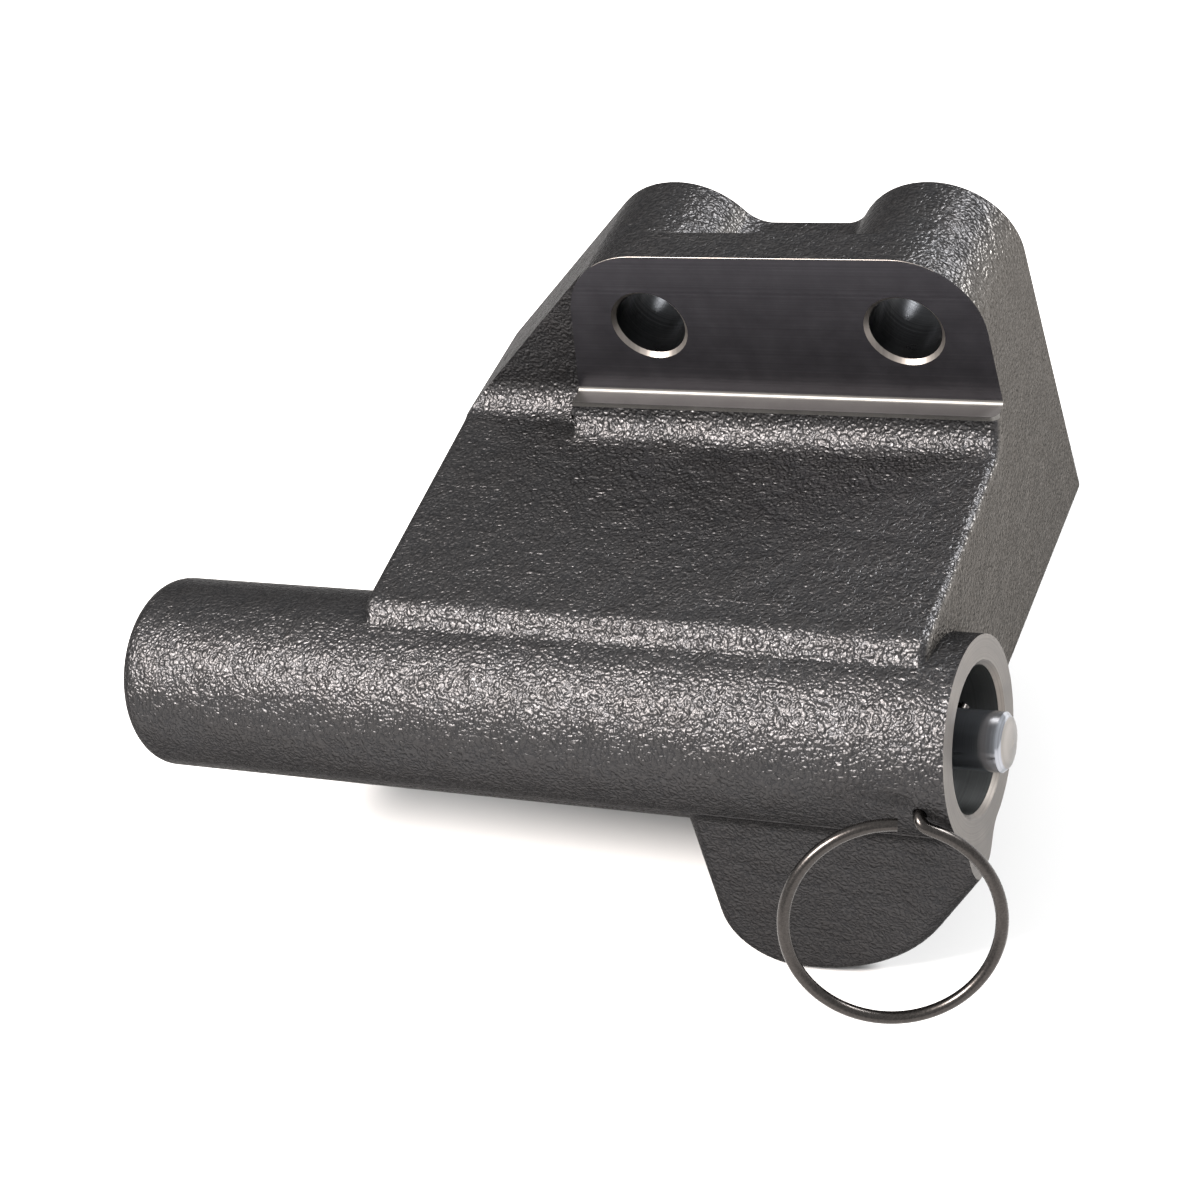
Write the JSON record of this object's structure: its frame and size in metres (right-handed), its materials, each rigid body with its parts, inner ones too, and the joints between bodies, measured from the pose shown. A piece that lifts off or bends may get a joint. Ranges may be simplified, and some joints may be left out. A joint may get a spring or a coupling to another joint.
{
  "type": "hydraulic belt tensioner",
  "caption": "Cast bracket and cylinder with a bolt-on face, a spring-loaded push rod damped by oil, and a wire pull pin that holds the rod in until the part is fitted.",
  "frame": {"origin": "middle of the two bolt holes, on the machined mounting face", "axes": "+X along the cylinder, out of its mouth; -Y out of the mounting face, towards the engine; +Z from the cylinder up to the bolt holes"},
  "size_m": [0.116, 0.0806, 0.0745],
  "materials": {
    "cast_body": "as cast, with machined faces",
    "spring_steel": "dark, oil tempered",
    "pin_wire": "bright drawn wire",
    "seal_case_steel": "pressed steel",
    "seal_rubber": "matt black",
    "guide_steel": "turned",
    "bush_bronze": "bored",
    "rod_chrome": "ground and plated",
    "wear_plastic": "moulded",
    "hardened_steel": "ground"
  },
  "bodies": {
    "housing": {"tensioner_body": "cast_body", "snap_ring": "spring_steel", "oil_seal_case": "seal_case_steel", "oil_seal_lip": "seal_rubber", "seal_garter_spring": "spring_steel", "rod_guide": "guide_steel", "guide_bush": "bush_bronze", "guide_o_ring": "seal_rubber", "cylinder_sleeve": "hardened_steel", "return_spring": "spring_steel"},
    "piston": {"push_rod": "rod_chrome", "wear_ring": "wear_plastic", "plunger": "hardened_steel", "valve_seat": "hardened_steel", "ball_cage": "seal_case_steel", "ball_spring": "spring_steel"},
    "check_valve": {"check_ball": "hardened_steel"},
    "pull_pin": {"pull_pin": "pin_wire"}
  },
  "joints": [
    {"name": "pin_pull", "type": "slide", "parent": "housing", "child": "pull_pin", "axis": [0, -1, 0], "range_m": [0, 0.12]},
    {"name": "rod_extend", "type": "slide", "parent": "housing", "child": "piston", "axis": [1, 0, 0], "range_m": [0, 0.0105], "deforming": ["return_spring"]},
    {"name": "check_ball_lift", "type": "slide", "parent": "piston", "child": "check_valve", "axis": [-1, 0, 0], "range_m": [0, 0.0006], "stiffness_N_per_m": 50, "springref_m": -0.001, "deforming": ["ball_spring"]}
  ],
  "couplings": [
    {"joint": "rod_extend", "follows": "pin_pull", "ratio": 0.0875}
  ]
}
